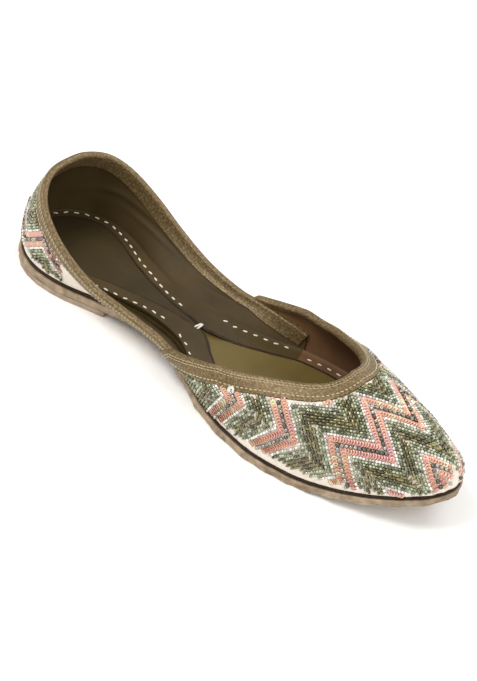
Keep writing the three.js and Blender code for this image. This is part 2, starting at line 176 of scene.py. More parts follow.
def underside(x):
    """Height of the outsole's underside."""
    x = np.asarray(x, float)
    waist = LIFT + (ARCH - LIFT) * ease(x, LIFT_LENGTH, ARCH_AT)
    waist = waist - ARCH * ease(x, ARCH_AT, BALL_START) * (x >= ARCH_AT)
    toe = TOE_SPRING * np.clip((x - BALL_END) / (LENGTH - BALL_END), 0, None) ** SPRING_CURVE
    return np.where(x < BALL_START, waist, toe)


def seat(x):
    return underside(x) + OUTSOLE + MIDSOLE + 2 * GAP


def outward(rib):
    """The level direction away from the last at its feather line."""
    step = 0.02
    low, high = np.clip(rib - step, 0, TIP), np.clip(rib + step, 0, TIP)
    along = column("foot", high) - column("foot", low)
    across = column("base", high) - column("base", low)
    out = unit(np.stack([-across, along, np.zeros_like(along)], -1))
    out = np.where((rib <= 0)[..., None], np.array([-1.0, 0, 0]), out)
    return np.where((rib >= TIP)[..., None], np.array([1.0, 0, 0]), out)


def last_point(rib, rise):
    """A point of the last: a cubic rib from the feather line at rise 0 to its head at rise 1."""
    rib, rise = np.broadcast_arrays(np.asarray(rib, float), np.asarray(rise, float))
    foot = np.stack([column("foot", rib), column("base", rib), np.zeros_like(rib)], -1)
    foot[..., 2] = seat(foot[..., 0])
    head = np.stack([column("head", rib), column("half", rib), column("up", rib)], -1)
    out = outward(rib)
    up = np.array([0.0, 0, 1])
    flare, curl = column("flare", rib)[..., None], column("curl", rib)[..., None]
    reach = np.linalg.norm(head - foot, axis=-1, keepdims=True) * HANDLE
    rising = out * np.sin(flare) + up * np.cos(flare)
    arriving = out * np.sin(curl) + up * np.cos(curl)
    step = 0.1
    ahead, behind = np.minimum(rib + step, TIP), rib - step
    slope = ((column("up", ahead) - column("up", behind))
             / (column("head", ahead) - column("head", behind)))
    arriving[..., 2] = np.where(rib >= RIDGE, arriving[..., 0] * slope, arriving[..., 2])
    t = rise[..., None]
    a, b = foot + rising * reach, head - unit(arriving) * reach
    return (1 - t) ** 3 * foot + 3 * (1 - t) ** 2 * t * a + 3 * (1 - t) * t * t * b + t ** 3 * head


def normals(rib, rise):
    step = 0.01
    low, high = np.clip(rib - step, 0, TIP), np.clip(rib + step, 0, TIP)
    along = last_point(high, rise) - last_point(low, rise)
    end = (rib <= 0) | (rib >= TIP)
    along = np.where(end[..., None], along * np.array([0.0, 1, 0]), along)
    upward = last_point(rib, rise + step) - last_point(rib, rise - step)
    normal = np.cross(upward, along)
    on_axis = end | ((rise == 1) & (rib >= RIDGE))
    normal[..., 1] = np.where(on_axis, 0, normal[..., 1])
    return unit(normal)


def on_last(rib, rise, height=0.0, side=1):
    rib, rise = np.broadcast_arrays(np.asarray(rib, float), np.asarray(rise, float))
    point = last_point(rib, rise) + normals(rib, rise) * np.asarray(height)[..., None]
    on_axis = (rib <= 0) | (rib >= TIP) | ((rise == 1) & (rib >= RIDGE))
    point[..., 1] = np.where(on_axis, 0, point[..., 1]) * side
    return point


LOWEST_CUT = 0.3  # rise that the search for the throat starts from
HALVINGS = 26


def open_edge(rib):
    """How far up its rib the open edge lies: the whole way, or to where the throat cuts the rib."""
    rib = np.asarray(rib, float)
    squares = np.interp(rib, np.arange(TIP + 1), TABLE["throat"] ** 2)
    half = np.sqrt(squares) * SCALE["throat"]
    low, high = np.full(rib.shape, LOWEST_CUT), np.ones(rib.shape)
    for _ in range(HALVINGS):
        middle = (low + high) / 2
        beyond = last_point(rib, middle)[..., 1] > half
        low, high = np.where(beyond, middle, low), np.where(beyond, high, middle)
    return np.where((rib <= THROAT_START) | (rib >= THROAT_FRONT), 1.0, high)


def quarter_reach(rib):
    return straight("quarter", rib) * open_edge(rib)


def vamp_reach(rib):
    return straight("vamp", rib) * open_edge(rib)


# ---------------------------------------------------------------- meshes and materials
def make(name, points, faces, materials, slot, which=None, smooth=40):
    """A mesh from points in millimetres, riding on the shoe's one body."""
    mesh = bpy.data.meshes.new(name)
    where = (np.asarray(points, float) + np.array([HEEL_X, 0, 0])) * MM
    mesh.from_pydata(where.tolist(), [], [tuple(int(i) for i in face) for face in faces])
    for material in materials:
        mesh.materials.append(material)
    if which is not None:
        mesh.polygons.foreach_set("material_index", np.asarray(which, np.int32))
    mesh.polygons.foreach_set("use_smooth", np.ones(len(mesh.polygons), bool))
    mesh.validate()
    if smooth:
        mesh.set_sharp_from_angle(angle=math.radians(smooth))
    piece = bpy.data.objects.new(name, mesh)
    bpy.context.scene.collection.objects.link(piece)
    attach(piece, "root")
    return piece


def new_material(name, roughness, metallic=0.0, sheen=0.0, coat=0.0, specular=0.5):
    material = bpy.data.materials.new(name)
    material.use_nodes = True
    shader = material.node_tree.nodes["Principled BSDF"]
    shader.inputs["Roughness"].default_value = roughness
    shader.inputs["Metallic"].default_value = metallic
    shader.inputs["Sheen Weight"].default_value = sheen
    shader.inputs["Coat Weight"].default_value = coat
    shader.inputs["Specular IOR Level"].default_value = specular
    return material, material.node_tree, shader


def add(tree, kind, **inputs):
    node = tree.nodes.new(kind)
    for name, value in inputs.items():
        node.inputs[name.replace("_", " ")].default_value = value
    return node


def ramp_to(tree, source, colors, target, positions=None):
    """A colour ramp, by default over the middle half of its range."""
    positions = positions or np.linspace(0.25, 0.75, len(colors))
    ramp = tree.nodes.new("ShaderNodeValToRGB")
    stops = ramp.color_ramp.elements
    while len(stops) < len(colors):
        stops.new(0.5)
    for i, color in enumerate(colors):
        stops[i].position = positions[i]
        stops[i].color = (*color, 1)
    tree.links.new(source, ramp.inputs["Fac"])
    tree.links.new(ramp.outputs["Color"], target)


def grained(name, colors, roughness, blotch, grain, depth, **finish):
    """Leather or cloth: colour that drifts over blotch, and a bump of grain size, both in millimetres."""
    material, tree, shader = new_material(name, roughness, **finish)
    place = tree.nodes.new("ShaderNodeTexCoord").outputs["Object"]
    drift = add(tree, "ShaderNodeTexNoise", Scale=1000 / blotch, Detail=5.0)
    fine = add(tree, "ShaderNodeTexNoise", Scale=1000 / grain, Detail=3.0)
    for node in (drift, fine):
        tree.links.new(place, node.inputs["Vector"])
    ramp_to(tree, drift.outputs["Fac"], colors, shader.inputs["Base Color"])
    bump = add(tree, "ShaderNodeBump", Strength=0.6, Distance=depth * MM)
    tree.links.new(fine.outputs["Fac"], bump.inputs["Height"])
    tree.links.new(bump.outputs["Normal"], shader.inputs["Normal"])
    return material


WAVE_SCALE = 6.3  # makes a crest of Blender's wave texture as wide as a thread


def woven(name, colors, roughness, thread, **finish):
    """Satin: fine floating threads one way, crossed by a fainter set."""
    material, tree, shader = new_material(name, roughness, **finish)
    place = tree.nodes.new("ShaderNodeTexCoord").outputs["Object"]
    drift = add(tree, "ShaderNodeTexNoise", Scale=90.0, Detail=4.0)
    tree.links.new(place, drift.inputs["Vector"])
    ramp_to(tree, drift.outputs["Fac"], colors, shader.inputs["Base Color"])
    heights = []
    for direction in ("X", "Z"):
        wave = add(tree, "ShaderNodeTexWave", Scale=1000 / thread / WAVE_SCALE, Distortion=0.6)
        wave.bands_direction = direction
        tree.links.new(place, wave.inputs["Vector"])
        heights.append(wave.outputs["Fac"])
    join = tree.nodes.new("ShaderNodeMath")
    join.operation = "ADD"
    for i, height in enumerate(heights):
        tree.links.new(height, join.inputs[i])
    bump = add(tree, "ShaderNodeBump", Strength=0.35, Distance=0.05 * MM)
    tree.links.new(join.outputs[0], bump.inputs["Height"])
    tree.links.new(bump.outputs["Normal"], shader.inputs["Normal"])
    return material


OWN_SHADE = 0.4  # how much of a bead's own shade is added to the drift


def beaded(name, colors, roughness, positions=None, blotch=0.0, **finish):
    """Beads: each one its own shade, which may also drift over blotch millimetres."""
    material, tree, shader = new_material(name, roughness, **finish)
    shade = tree.nodes.new("ShaderNodeNewGeometry").outputs["Random Per Island"]
    if blotch:
        place = tree.nodes.new("ShaderNodeTexCoord").outputs["Object"]
        drift = add(tree, "ShaderNodeTexNoise", Scale=1000 / blotch, Detail=1.0)
        tree.links.new(place, drift.inputs["Vector"])
        join = tree.nodes.new("ShaderNodeMath")
        join.operation = "MULTIPLY_ADD"
        tree.links.new(shade, join.inputs[0])
        join.inputs[1].default_value = OWN_SHADE
        tree.links.new(drift.outputs["Fac"], join.inputs[2])
        shade = join.outputs[0]
    ramp_to(tree, shade, colors, shader.inputs["Base Color"], positions)
    return material


SATIN = woven("satin", [(0.76, 0.66, 0.56), (0.87, 0.79, 0.69)], 0.38, 0.35, sheen=0.3)
QUARTER_LINING = grained("quarter_lining", [(0.034, 0.022, 0.008), (0.078, 0.051, 0.018)],
                         0.55, 30, 0.7, 0.15, specular=0.16)
VAMP_LINING = grained("vamp_lining", [(0.100, 0.052, 0.025), (0.190, 0.098, 0.044)], 0.55, 22, 0.7, 0.15,
                      specular=0.16)
INSOLE_LEATHER = grained("insole_leather", [(0.100, 0.070, 0.018), (0.158, 0.114, 0.033)], 0.5, 36, 0.6, 0.1,
                         specular=0.18)
SOCK_LEATHER = grained("sock_leather", [(0.028, 0.019, 0.008), (0.056, 0.039, 0.015)], 0.5, 36, 0.6, 0.1,
                       specular=0.16)
BRONZE = grained("bronze_leather", [(0.058, 0.035, 0.012), (0.146, 0.096, 0.038), (0.300, 0.212, 0.095)],
                 0.42, 0.9, 0.5, 0.3, metallic=0.35)
SOLE_LEATHER = grained("sole_leather", [(0.190, 0.130, 0.078), (0.450, 0.345, 0.235)], 0.85, 4, 0.9, 0.5)
LIFT_LEATHER = grained("lift_leather", [(0.240, 0.175, 0.115), (0.430, 0.340, 0.250)], 0.85, 5, 0.9, 0.4)
# Near-black leather that also paints shade: on the lining's cut edge it is a painted shadow, on the midsole's
# edge partly its own dark leather and partly painted shade of the gap under the satin.
DARK_LEATHER_AND_PAINTED_SHADE = grained("dark_leather_and_painted_shade", [(0.016, 0.010, 0.005), (0.050, 0.030, 0.016)], 0.7, 6, 0.8, 0.3,
                       specular=0.15)
WHITE_THREAD = grained("white_thread", [(0.58, 0.54, 0.43), (0.80, 0.77, 0.66)], 0.65, 2, 0.25, 0.1)
GOLD_THREAD = grained("gold_thread", [(0.36, 0.28, 0.15), (0.64, 0.53, 0.32)], 0.4, 2, 0.25, 0.1)
WHITE_BEAD = beaded("white_bead", [(0.44, 0.41, 0.35), (0.66, 0.63, 0.56), (0.84, 0.82, 0.76)],
                    0.16, coat=0.6, metallic=0.3)
SILVER_BEAD = beaded("silver_bead", [(0.13, 0.12, 0.10), (0.42, 0.39, 0.34)], 0.16, metallic=0.85)
GREEN_BEAD = beaded("green_bead", [(0.100, 0.110, 0.052), (0.235, 0.255, 0.140), (0.45, 0.48, 0.34)], 0.2,
                    coat=0.5, metallic=0.5)
OLIVE_BUGLE = beaded("olive_bugle", [(0.070, 0.062, 0.020), (0.130, 0.115, 0.040), (0.235, 0.210, 0.085)],
                     0.14, coat=0.7, metallic=0.55)
SALMON_SEQUIN = beaded("salmon_sequin", [(0.66, 0.35, 0.36), (0.70, 0.37, 0.29), (0.72, 0.39, 0.27),
                                         (0.76, 0.45, 0.31), (0.76, 0.73, 0.46)], 0.2,
                       positions=(0.38, 0.56, 0.72, 0.90, 0.93), blotch=26, coat=0.7, metallic=0.15)


# ---------------------------------------------------------------- upper
def shell_faces(columns, rows, closed_top):
    """Faces of a wall between an outer grid, listed first, and an inner grid."""
    half = columns * rows

    def at(i, j, inner=0):
        return inner * half + i * rows + j

    outer, inner, rim = [], [], []
    for i in range(columns - 1):
        for j in range(rows - 1):
            outer.append((at(i, j), at(i, j + 1), at(i + 1, j + 1), at(i + 1, j)))
            inner.append((at(i, j, 1), at(i + 1, j, 1), at(i + 1, j + 1, 1), at(i, j + 1, 1)))
        rim.append((at(i, 0, 1), at(i, 0), at(i + 1, 0), at(i + 1, 0, 1)))
        if not closed_top[i]:
            top = rows - 1
            rim.append((at(i, top), at(i, top, 1), at(i + 1, top, 1), at(i + 1, top)))
    last = columns - 1
    for j in range(rows - 1):
        rim.append((at(0, j), at(0, j, 1), at(0, j + 1, 1), at(0, j + 1)))
        rim.append((at(last, j), at(last, j + 1), at(last, j + 1, 1), at(last, j, 1)))
    return outer, inner, rim


# Creases of the lining: rib, rise, half length in ribs, half width in rise, depth in mm, slant
CREASES = [
    (3.6, 0.62, 1.3, 0.05, 0.55, 0.10),
    (4.1, 0.46, 1.1, 0.05, 0.45, 0.08),
    (4.9, 0.70, 1.2, 0.04, 0.40, -0.06),
    (2.2, 0.50, 0.9, 0.06, 0.40, 0.12),
    (7.2, 0.55, 1.0, 0.06, 0.35, 0.10),
]


def creased(rib, rise):
    depth = np.zeros(np.broadcast(rib, rise).shape)
    for at, level, length, width, deep, slant in CREASES:
        run = (rib - at) / length
        depth += deep * np.exp(-run ** 2) * np.exp(-((rise - level - slant * run) / width) ** 2)
    return depth


PUCKER_DEPTH = 0.28
PUCKER_PACE = 9.0  # radians for each rib
PUCKER_DRIFT = 1.5  # radians by which the gathers come early or late
PUCKER_DRIFT_PACE = 3.7
PUCKER_FADE = 0.07  # rise over which they fade
PUCKER_START = 0.02  # rise below which they shrink to nothing at the sole


def puckered(rib, rise):
    """Small gathers where the satin is drawn under to the sole."""
    gathers = np.sin(rib * PUCKER_PACE + np.sin(rib * PUCKER_DRIFT_PACE) * PUCKER_DRIFT)
    return PUCKER_DEPTH * gathers * np.exp(-rise / PUCKER_FADE) * np.clip(rise / PUCKER_START, 0, 1)


WALL_LEVELS = 37


def wall(name, ribs, sides, reach, inner, outer, lining, slot):
    """One leather of the upper as a closed wall, satin outside and lining inside."""
    levels = np.linspace(0, 1, WALL_LEVELS)
    rib, level = np.meshgrid(ribs, levels, indexing="ij")
    rise = level * reach(ribs)[:, None]
    side = np.repeat(np.asarray(sides)[:, None], len(levels), 1)
    grids = []
    for height in (outer + puckered(rib, rise), inner - creased(rib, rise)):
        points = on_last(rib, rise, height)
        points[..., 1] *= side
        grids.append(points.reshape(-1, 3))
    shut = [min(a, b) >= THROAT_FRONT for a, b in zip(ribs[:-1], ribs[1:])]
    outside, inside, rim = shell_faces(len(ribs), len(levels), shut)
    which = [0] * len(outside) + [1] * len(inside) + [1] * len(rim)
    return make(name, np.concatenate(grids), outside + inside + rim, [SATIN, lining], slot, which)


def both_ways(start, end, step=0.125):
    ribs = np.linspace(start, end, int(round(abs(end - start) / step)) + 1)
    return ribs, ribs[::-1][1:]


down, up_again = both_ways(QUARTER_END, 0)
quarter = wall("quarter", np.concatenate([down, up_again]), [-1] * len(down) + [1] * len(up_again),
               quarter_reach, -QUARTER_WALL, 0.0, QUARTER_LINING, "satin")
forth, back_again = both_ways(VAMP_START, TIP)
wall("vamp", np.concatenate([forth, back_again]), [1] * len(forth) + [-1] * len(back_again),
     vamp_reach, -SEWN, VAMP_WALL, VAMP_LINING, "satin")
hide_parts("upper")


# ---------------------------------------------------------------- bindings
def walk(rib, rise, heading, distance):
    """Places reached on the last by going a distance in one heading, in short strides."""
    strides = max(int(math.ceil(distance)), 1)
    step = 0.01
    for _ in range(strides):
        low = np.maximum(rib - step, 0)
        along = (last_point(rib + step, rise) - last_point(low, rise)) / (rib + step - low)[:, None]
        upward = (last_point(rib, rise) - last_point(rib, rise - step)) / step
        aa, bb, ab = ((p * q).sum(-1) for p, q in ((along, along), (upward, upward), (along, upward)))
        size = aa * bb - ab ** 2
        a, b = (heading * along).sum(-1), (heading * upward).sum(-1)
        stride = distance / strides
        rib = np.maximum(rib + (a * bb - b * ab) / size * stride, 0)
        rise = np.minimum(rise + (b * aa - a * ab) / size * stride, 1)
    return rib, rise


class Edge:
    """An open edge of the upper and the strip of surface beside it."""

    def __init__(self, ribs, reach, away, axis_rib):
        step = 0.02
        self.rib, self.rise = ribs, reach(ribs)
        self.point = on_last(ribs, self.rise)
        self.normal = normals(ribs, self.rise)
        ahead = on_last(ribs + step, reach(ribs + step))
        behind = on_last(np.maximum(ribs - step, 0), reach(np.maximum(ribs - step, 0)))
        tangent = unit(ahead - behind)
        self.on_axis = ribs == axis_rib
        tangent[self.on_axis] = [0, 1, 0]
        heading = unit(np.cross(tangent, self.normal))
        self.heading = heading * np.sign((heading * np.array(away)).sum(-1, keepdims=True))

    def at(self, distance, height):
        if distance <= 0:
            return self.point + self.normal * height + self.heading * distance
        rib, rise = walk(self.rib, self.rise, self.heading, distance)
        point = on_last(rib, rise, height)
        point[self.on_axis, 1] = 0
        return point


QUARTER_STEPS = 97
WING_STEPS = 50
THROAT_STEPS = 36  # closer together toward the throat's front, where the edge turns
quarter_ribs = np.linspace(0, QUARTER_END, QUARTER_STEPS)
vamp_ribs = np.unique(np.concatenate([np.linspace(VAMP_START, THROAT_FRONT - 1, WING_STEPS),
                                      THROAT_FRONT - np.linspace(1, 0, THROAT_STEPS) ** 2]))
QUARTER_EDGE = Edge(quarter_ribs, quarter_reach, (0, 0, -1), 0)
VAMP_EDGE = Edge(vamp_ribs, vamp_reach, (0.6, 0, -1), THROAT_FRONT)


def both_halves(half, joined_at_start):
    """A run along one half of the shoe, joined to its mirror image."""
    mirrored = half * np.array([1, -1, 1])
    if joined_at_start:
        return np.concatenate([mirrored[::-1], half[1:]])
    return np.concatenate([half, mirrored[::-1][1:]])


def band_faces(rings, around):
    """Faces between closed rings of points, from each ring to the next."""
    return [(k * around + i, k * around + (i + 1) % around,
             (k + 1) * around + (i + 1) % around, (k + 1) * around + i)
            for k in range(rings - 1) for i in range(around)]


FOLD_STEPS = 9
BEVEL = 0.25  # how far the outer leg's edge slopes
BEVEL_DROP = 0.1
CROWN = 0.12  # rise of the outer leg's middle
STRIP_CLEAR = 0.05  # from the legs' edges to the leather
CORE = 0.3  # from the leather's edge to the strip's inside
CORE_CLEAR = 0.02


def binding(name, edge, inner, outer, turn_in, joined_at_start):
    """A folded strip over an edge, with a crowned outer leg, as one closed sweep round both halves."""
    top, bottom = outer + GAP + BINDING, inner - GAP - BINDING
    fold = GAP + BINDING
    middle, radius = (top + bottom) / 2, (top - bottom) / 2
    turn = np.linspace(0.5, -0.5, FOLD_STEPS) * math.pi
    profile = [(BINDING_WIDTH, outer + STRIP_CLEAR), (BINDING_WIDTH - BEVEL, top - BEVEL_DROP)]
    profile += [(BINDING_WIDTH * part, top + CROWN * math.sin(math.pi * part))
                for part in (0.8, 0.6, 0.4, 0.2)]
    profile += [(-fold * math.cos(a), middle + radius * math.sin(a)) for a in turn]
    profile += [(turn_in * part, bottom) for part in (0.3, 0.6, 0.96)]
    profile += [(turn_in, inner - STRIP_CLEAR), (CORE, inner - CORE_CLEAR), (CORE, outer + CORE_CLEAR)]
    half = np.stack([edge.at(distance, height) for distance, height in profile], 1)
    rings = both_halves(half, joined_at_start)
    count, around = rings.shape[:2]
    faces = band_faces(count, around)
    faces.append(tuple(range(around))[::-1])
    faces.append(tuple((count - 1) * around + j for j in range(around)))
    piece = make(name + "_strip", rings.reshape(-1, 3), faces, [BRONZE], "binding", smooth=50)
    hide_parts(name)


binding("quarter_binding", QUARTER_EDGE, -QUARTER_WALL, 0.0, BINDING_WIDTH, True)
binding("vamp_binding", VAMP_EDGE, -SEWN, VAMP_WALL, VAMP_TURN_IN, False)


# ---------------------------------------------------------------- small things as joined meshes
def barrel(sides=6, waist=1.0, end=0.62):
    """A bead of length 1 along X and radius 1, rounded at its ends.

    Its faces point inward, because the last line turns them. This is an open fault.
    """
    rings = [(-0.5, end), (-0.25, waist), (0.25, waist), (0.5, end)]
    angles = np.arange(sides) * 2 * math.pi / sides
    points = [(x, r * math.cos(a), r * math.sin(a)) for x, r in rings for a in angles]
    faces = band_faces(len(rings), sides)
    faces += [tuple(range(sides))[::-1], tuple((len(rings) - 1) * sides + i for i in range(sides))]
    return np.array(points), [face[::-1] for face in faces]


def disc(sides=10):
    """A cupped sequin of radius 1 with a hole, as a closed thin ring."""
    angles = np.arange(sides) * 2 * math.pi / sides
    loops = [(1.0, 0.22), (0.55, 0.04), (0.2, 0.0), (0.2, -0.08), (0.55, -0.04), (1.0, 0.12)]
    points = [(r * math.cos(a), r * math.sin(a), z) for r, z in loops for a in angles]
    count = len(loops)
    faces = [(k * sides + i, ((k + 1) % count) * sides + i,
              ((k + 1) % count) * sides + (i + 1) % sides, k * sides + (i + 1) % sides)
             for k in range(count) for i in range(sides)]
    return np.array(points), [face[::-1] for face in faces]


def scatter(name, shape, places, along, normal, size, material, slot):
    """One joined mesh of a shape at each place: X goes along, Z along the normal, scaled by size."""
    shape_points, shape_faces = shape
    x = unit(along - (along * normal).sum(-1, keepdims=True) * normal)
    y = np.cross(normal, x)
    axes = np.stack([x, y, normal], 1)
    size = np.broadcast_to(np.asarray(size, float), (len(places), 3))
    local = shape_points[None] * size[:, None]
    points = np.einsum("nki,nij->nkj", local, axes) + places[:, None]
    offsets = np.arange(len(places)) * len(shape_points)
    faces = [tuple(i + offset for i in face) for offset in offsets for face in shape_faces]
    make(name, points.reshape(-1, 3), faces, [material], slot, smooth=0)


def spaced(line, spacing):
    """Points at even spacing along a line of points, their directions and how far along each one is."""
    reach = 0.3
    length = np.concatenate([[0], np.cumsum(np.linalg.norm(np.diff(line, axis=0), axis=1))])
    count = int(length[-1] / spacing)
    if count < 1:
        return np.zeros((0, 3)), np.zeros((0, 3)), np.zeros(0)
    stops = (np.arange(count) + 0.5) * spacing
    points = np.stack([np.interp(stops, length, line[:, k]) for k in range(3)], 1)
    ahead = np.stack([np.interp(stops + reach, length, line[:, k]) for k in range(3)], 1)
    behind = np.stack([np.interp(stops - reach, length, line[:, k]) for k in range(3)], 1)
    return points, unit(ahead - behind), stops / length[-1]


def seam(edge, distance, height):
    """A row along an edge on both halves of the shoe, with its normals."""
    joined_at_start = edge is QUARTER_EDGE
    line = both_halves(edge.at(distance, height), joined_at_start)
    over = both_halves(edge.at(distance, height + 1), joined_at_start)
    return line, over - line


# Stitch rows of a binding: distance from the edge, length, spacing and radius of a stitch
BINDING_ROWS = [(0.9, 1.3, 1.7, 0.16), (1.9, 1.3, 1.7, 0.16), (5.6, 1.35, 2.15, 0.27)]
STITCH_LIFT = 0.14  # of its middle above the binding


def sewn_rows(name, edge, outer):
    places, along, normal, size = [], [], [], []
    for distance, length, spacing, radius in BINDING_ROWS:
        line, up = seam(edge, distance, outer + GAP + BINDING + STITCH_LIFT)
        points, direction, part = spaced(line, spacing)
        index = np.linspace(0, 1, len(up))
        places.append(points)
        along.append(direction)
        normal.append(unit(np.stack([np.interp(part, index, up[:, k]) for k in range(3)], 1)))
        size.append(np.tile([length, radius, radius], (len(points), 1)))
    places, along, normal, size = (np.concatenate(group) for group in (places, along, normal, size))
    scatter(name, barrel(6), places, along, normal, size, GOLD_THREAD, "thread")


sewn_rows("quarter_binding_stitches", QUARTER_EDGE, 0.0)
sewn_rows("vamp_binding_stitches", VAMP_EDGE, VAMP_WALL)


# ---------------------------------------------------------------- soles
def outer_face(rib):
    return ease(rib, VAMP_START - 1, VAMP_START + 1) * VAMP_WALL / np.cos(column("flare", rib))


def rim(rib, margin):
    foot = last_point(rib, 0 * rib)
    return foot + outward(rib) * margin[..., None]


RIB_DIVISIONS = 10
PLY_OUT = 0.12  # every second ply stands out
PLY_IN = -0.05
CORNER_IN = -0.35  # the top and bottom edges are rounded off
WAVE_PACE = 0.55  # radians for each point of the outline
WAVE_NOISE = 0.5
LENGTHWISE = 0.35  # how little the wear moves the outline along the shoe


def sole_layer(name, margin, bottom, top, material, slot, wave, rows):
    """A layer under the foot, its edge in several plies with a wavering, worn outline."""
    ribs = np.linspace(0, TIP, TIP * RIB_DIVISIONS + 1)
    half = rim(ribs, margin(ribs))
    half[(ribs == 0) | (ribs == TIP), 1] = 0
    outline = both_halves(half * [1, -1, 1], False)
    away = unit((outline - outline.mean(0) * [1, 0, 0]) * [LENGTHWISE, 1, 0])
    waves = np.sin(np.arange(len(outline)) * WAVE_PACE)
    rings = []
    for k in range(rows):
        part = k / (rows - 1)
        ply = PLY_OUT if k % 2 else PLY_IN
        round_off = CORNER_IN if k in (0, rows - 1) else 0.0
        worn = wave * (1 - part) * (waves + rng.normal(0, WAVE_NOISE, len(outline)))
        ring = outline + away * (ply + round_off + worn)[:, None]
        low, high = bottom(ring[:, 0]), top(ring[:, 0])
        ring[:, 2] = low + (high - low) * part
        rings.append(ring)
    count = len(outline)
    points = np.concatenate(rings)
    faces = band_faces(rows, count)
    to_tip = (count + 1) // 2
    for k, turned in ((0, True), (rows - 1, False)):
        for i in range(to_tip - 1):
            a, b = k * count + i, k * count + i + 1
            c, d = k * count + (count - i - 1) % count, k * count + (count - i) % count
            face = tuple(dict.fromkeys((a, b, c, d)))
            if len(face) > 2:
                faces.append(face[::-1] if turned else face)
    piece = make(name + "_edge", points, faces, [material], slot, smooth=35)
    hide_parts(name)


def sole_top(x):
    return underside(x) + OUTSOLE


OUTSOLE_WORN = 0.1
# The midsole's near-black edge is partly its own dark leather and partly painted shade: it stands out past the
# satin to draw the shadowed gap between the upper and the outsole.
MIDSOLE_MARGIN = 0.45
MIDSOLE_START = 0.2  # its underside, in gaps above the outsole
MIDSOLE_END = 1.6  # its top, in gaps more than its thickness


def outsole_margin(rib):
    return outer_face(rib) + OUTSOLE_MARGIN - OUTSOLE_WORN


def midsole_margin(rib):
    return outer_face(rib) + MIDSOLE_MARGIN


def midsole_low(x):
    return sole_top(x) + GAP * MIDSOLE_START


def midsole_high(x):
    return sole_top(x) + GAP * MIDSOLE_END + MIDSOLE


sole_layer("outsole", outsole_margin, underside, sole_top, SOLE_LEATHER, "sole", wave=0.34, rows=9)
sole_layer("midsole", midsole_margin, midsole_low, midsole_high, DARK_LEATHER_AND_PAINTED_SHADE, "midsole", wave=0.15, rows=5)
for node, material in (("insole", INSOLE_LEATHER), ("heel_sock", SOCK_LEATHER), ("heel_lift", LIFT_LEATHER)):
    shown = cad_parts[node]
    shown.data.materials.clear()
    shown.data.materials.append(material)


# ---------------------------------------------------------------- turned-in lining and hand stitches
# How far in it reaches from the wall: place in % of the length, and width in mm. The sides meet at the waist.
FLANGE = [(0, 4.0), (10, 4.5), (20, 7.5), (31.5, 9.2), (38, 12.2), (41.6, 14.9), (45, 12.6), (50.5, 10.0),
          (57, 7.5), (63, 7.0), (100, 6.0)]
SOCK_FRONT = (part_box("heel_sock")[1].x / MM - HEEL_X) / LENGTH * 100
FLANGE_MEETS = max(FLANGE, key=lambda row: row[1])[0]
SOCK_STEP = 3.0  # % of the length over which the lining comes down from the sock to the insole


def flange_width(rib):
    foot = column("foot", rib) / LENGTH * 100
    return np.interp(foot, *np.array(FLANGE).T)


def on_insole(rib, inset, lift):
    point = rim(rib, -(QUARTER_WALL + inset))
    sock = (SOCK + GAP) * (1 - ease(column("foot", rib) / LENGTH * 100, SOCK_FRONT, SOCK_FRONT + SOCK_STEP))
    point[..., 2] = seat(point[..., 0]) + INSOLE + sock + lift
    return point


# Across it, round from the wall: part of its width, and height in mm. The next list gives the cut edge's faces,
# which are painted near-black as the shadow along the lining's raised edge.
FLANGE_PROFILE = [(0.0, 1.6), (0.08, 0.75), (0.25, 0.55), (0.6, 0.5), (0.9, 0.5), (1.0, 0.34), (1.0, 0.02),
                  (0.5, 0.05), (0.0, 0.05)]
SHADOWED_CUT_EDGE = (4, 5)


def flange(name, first, last, leather):
    ribs = np.linspace(first, last, int((last - first) * RIB_DIVISIONS) + 1)
    width = flange_width(ribs)
    half = np.stack([on_insole(ribs, width * part, lift) for part, lift in FLANGE_PROFILE], 1)
    around = len(FLANGE_PROFILE)
    points, faces, which = [], [], []
    for side in (1, -1):
        base = len(points)
        points.extend((half * [1, side, 1]).reshape(-1, 3))
        for i in range(len(ribs) - 1):
            for j in range(around):
                k = (j + 1) % around
                face = (base + i * around + j, base + i * around + k,
                        base + (i + 1) * around + k, base + (i + 1) * around + j)
                faces.append(face if side == 1 else face[::-1])
                which.append(1 if j in SHADOWED_CUT_EDGE else 0)
        for i, turn in ((0, 1), (len(ribs) - 1, -1)):
            cap = tuple(base + i * around + j for j in range(around))
            faces.append(cap[::-1] if turn * side == 1 else cap)
            which.append(0)
    # the cut edge takes the near-black painted shadow
    make(name, points, faces, [leather, DARK_LEATHER_AND_PAINTED_SHADE], "lining", which, smooth=50)


FLANGE_JOIN = QUARTER_END
flange("quarter_lining_flange", 0.0, FLANGE_JOIN, QUARTER_LINING)
flange("vamp_lining_flange", FLANGE_JOIN, TIP - 1.0, VAMP_LINING)


# Rows of hand stitches: side, then place in % of the length and distance from the wall in mm
STITCH_ROWS = [
    (1, [(0.3, 1.2), (10, 1.4), (21, 4.6), (27, 5.4), (37.5, 9.6)]),
    (-1, [(0.3, 1.2), (10, 1.4), (28, 1.8), (37.5, 4.2)]),
    (1, [(42, 3.2), (48, 1.8), (56.4, 1.4)]),
    (-1, [(40, 2.4), (46, 1.6), (56.4, 1.4)]),
    (1, [(58, 4.2), (63, 3.6), (75, 3.4)]),
    (-1, [(58, 4.2), (63, 3.6), (75, 3.4)]),
]
STITCH_STEP = 5.1
STITCH_RISE = 0.62  # middle of a stitch above the lining's underside
STITCH_LENGTHS = (2.0, 2.6)
STITCH_HALF_WIDTH = 0.42
STITCH_HALF_HEIGHT = 0.36
STITCH_SWING = 0.16
# The double stitch that holds the two linings together where they meet: length, half width and half height
WAIST_STITCH = (4.6, 0.5, 0.45)
WAIST_SHIFTS = (-0.6, 0.6)
WAIST_DIRECTIONS = [[0.12, 1, 0], [-0.08, 1, 0]]
STITCH_LINE_STEPS = 900


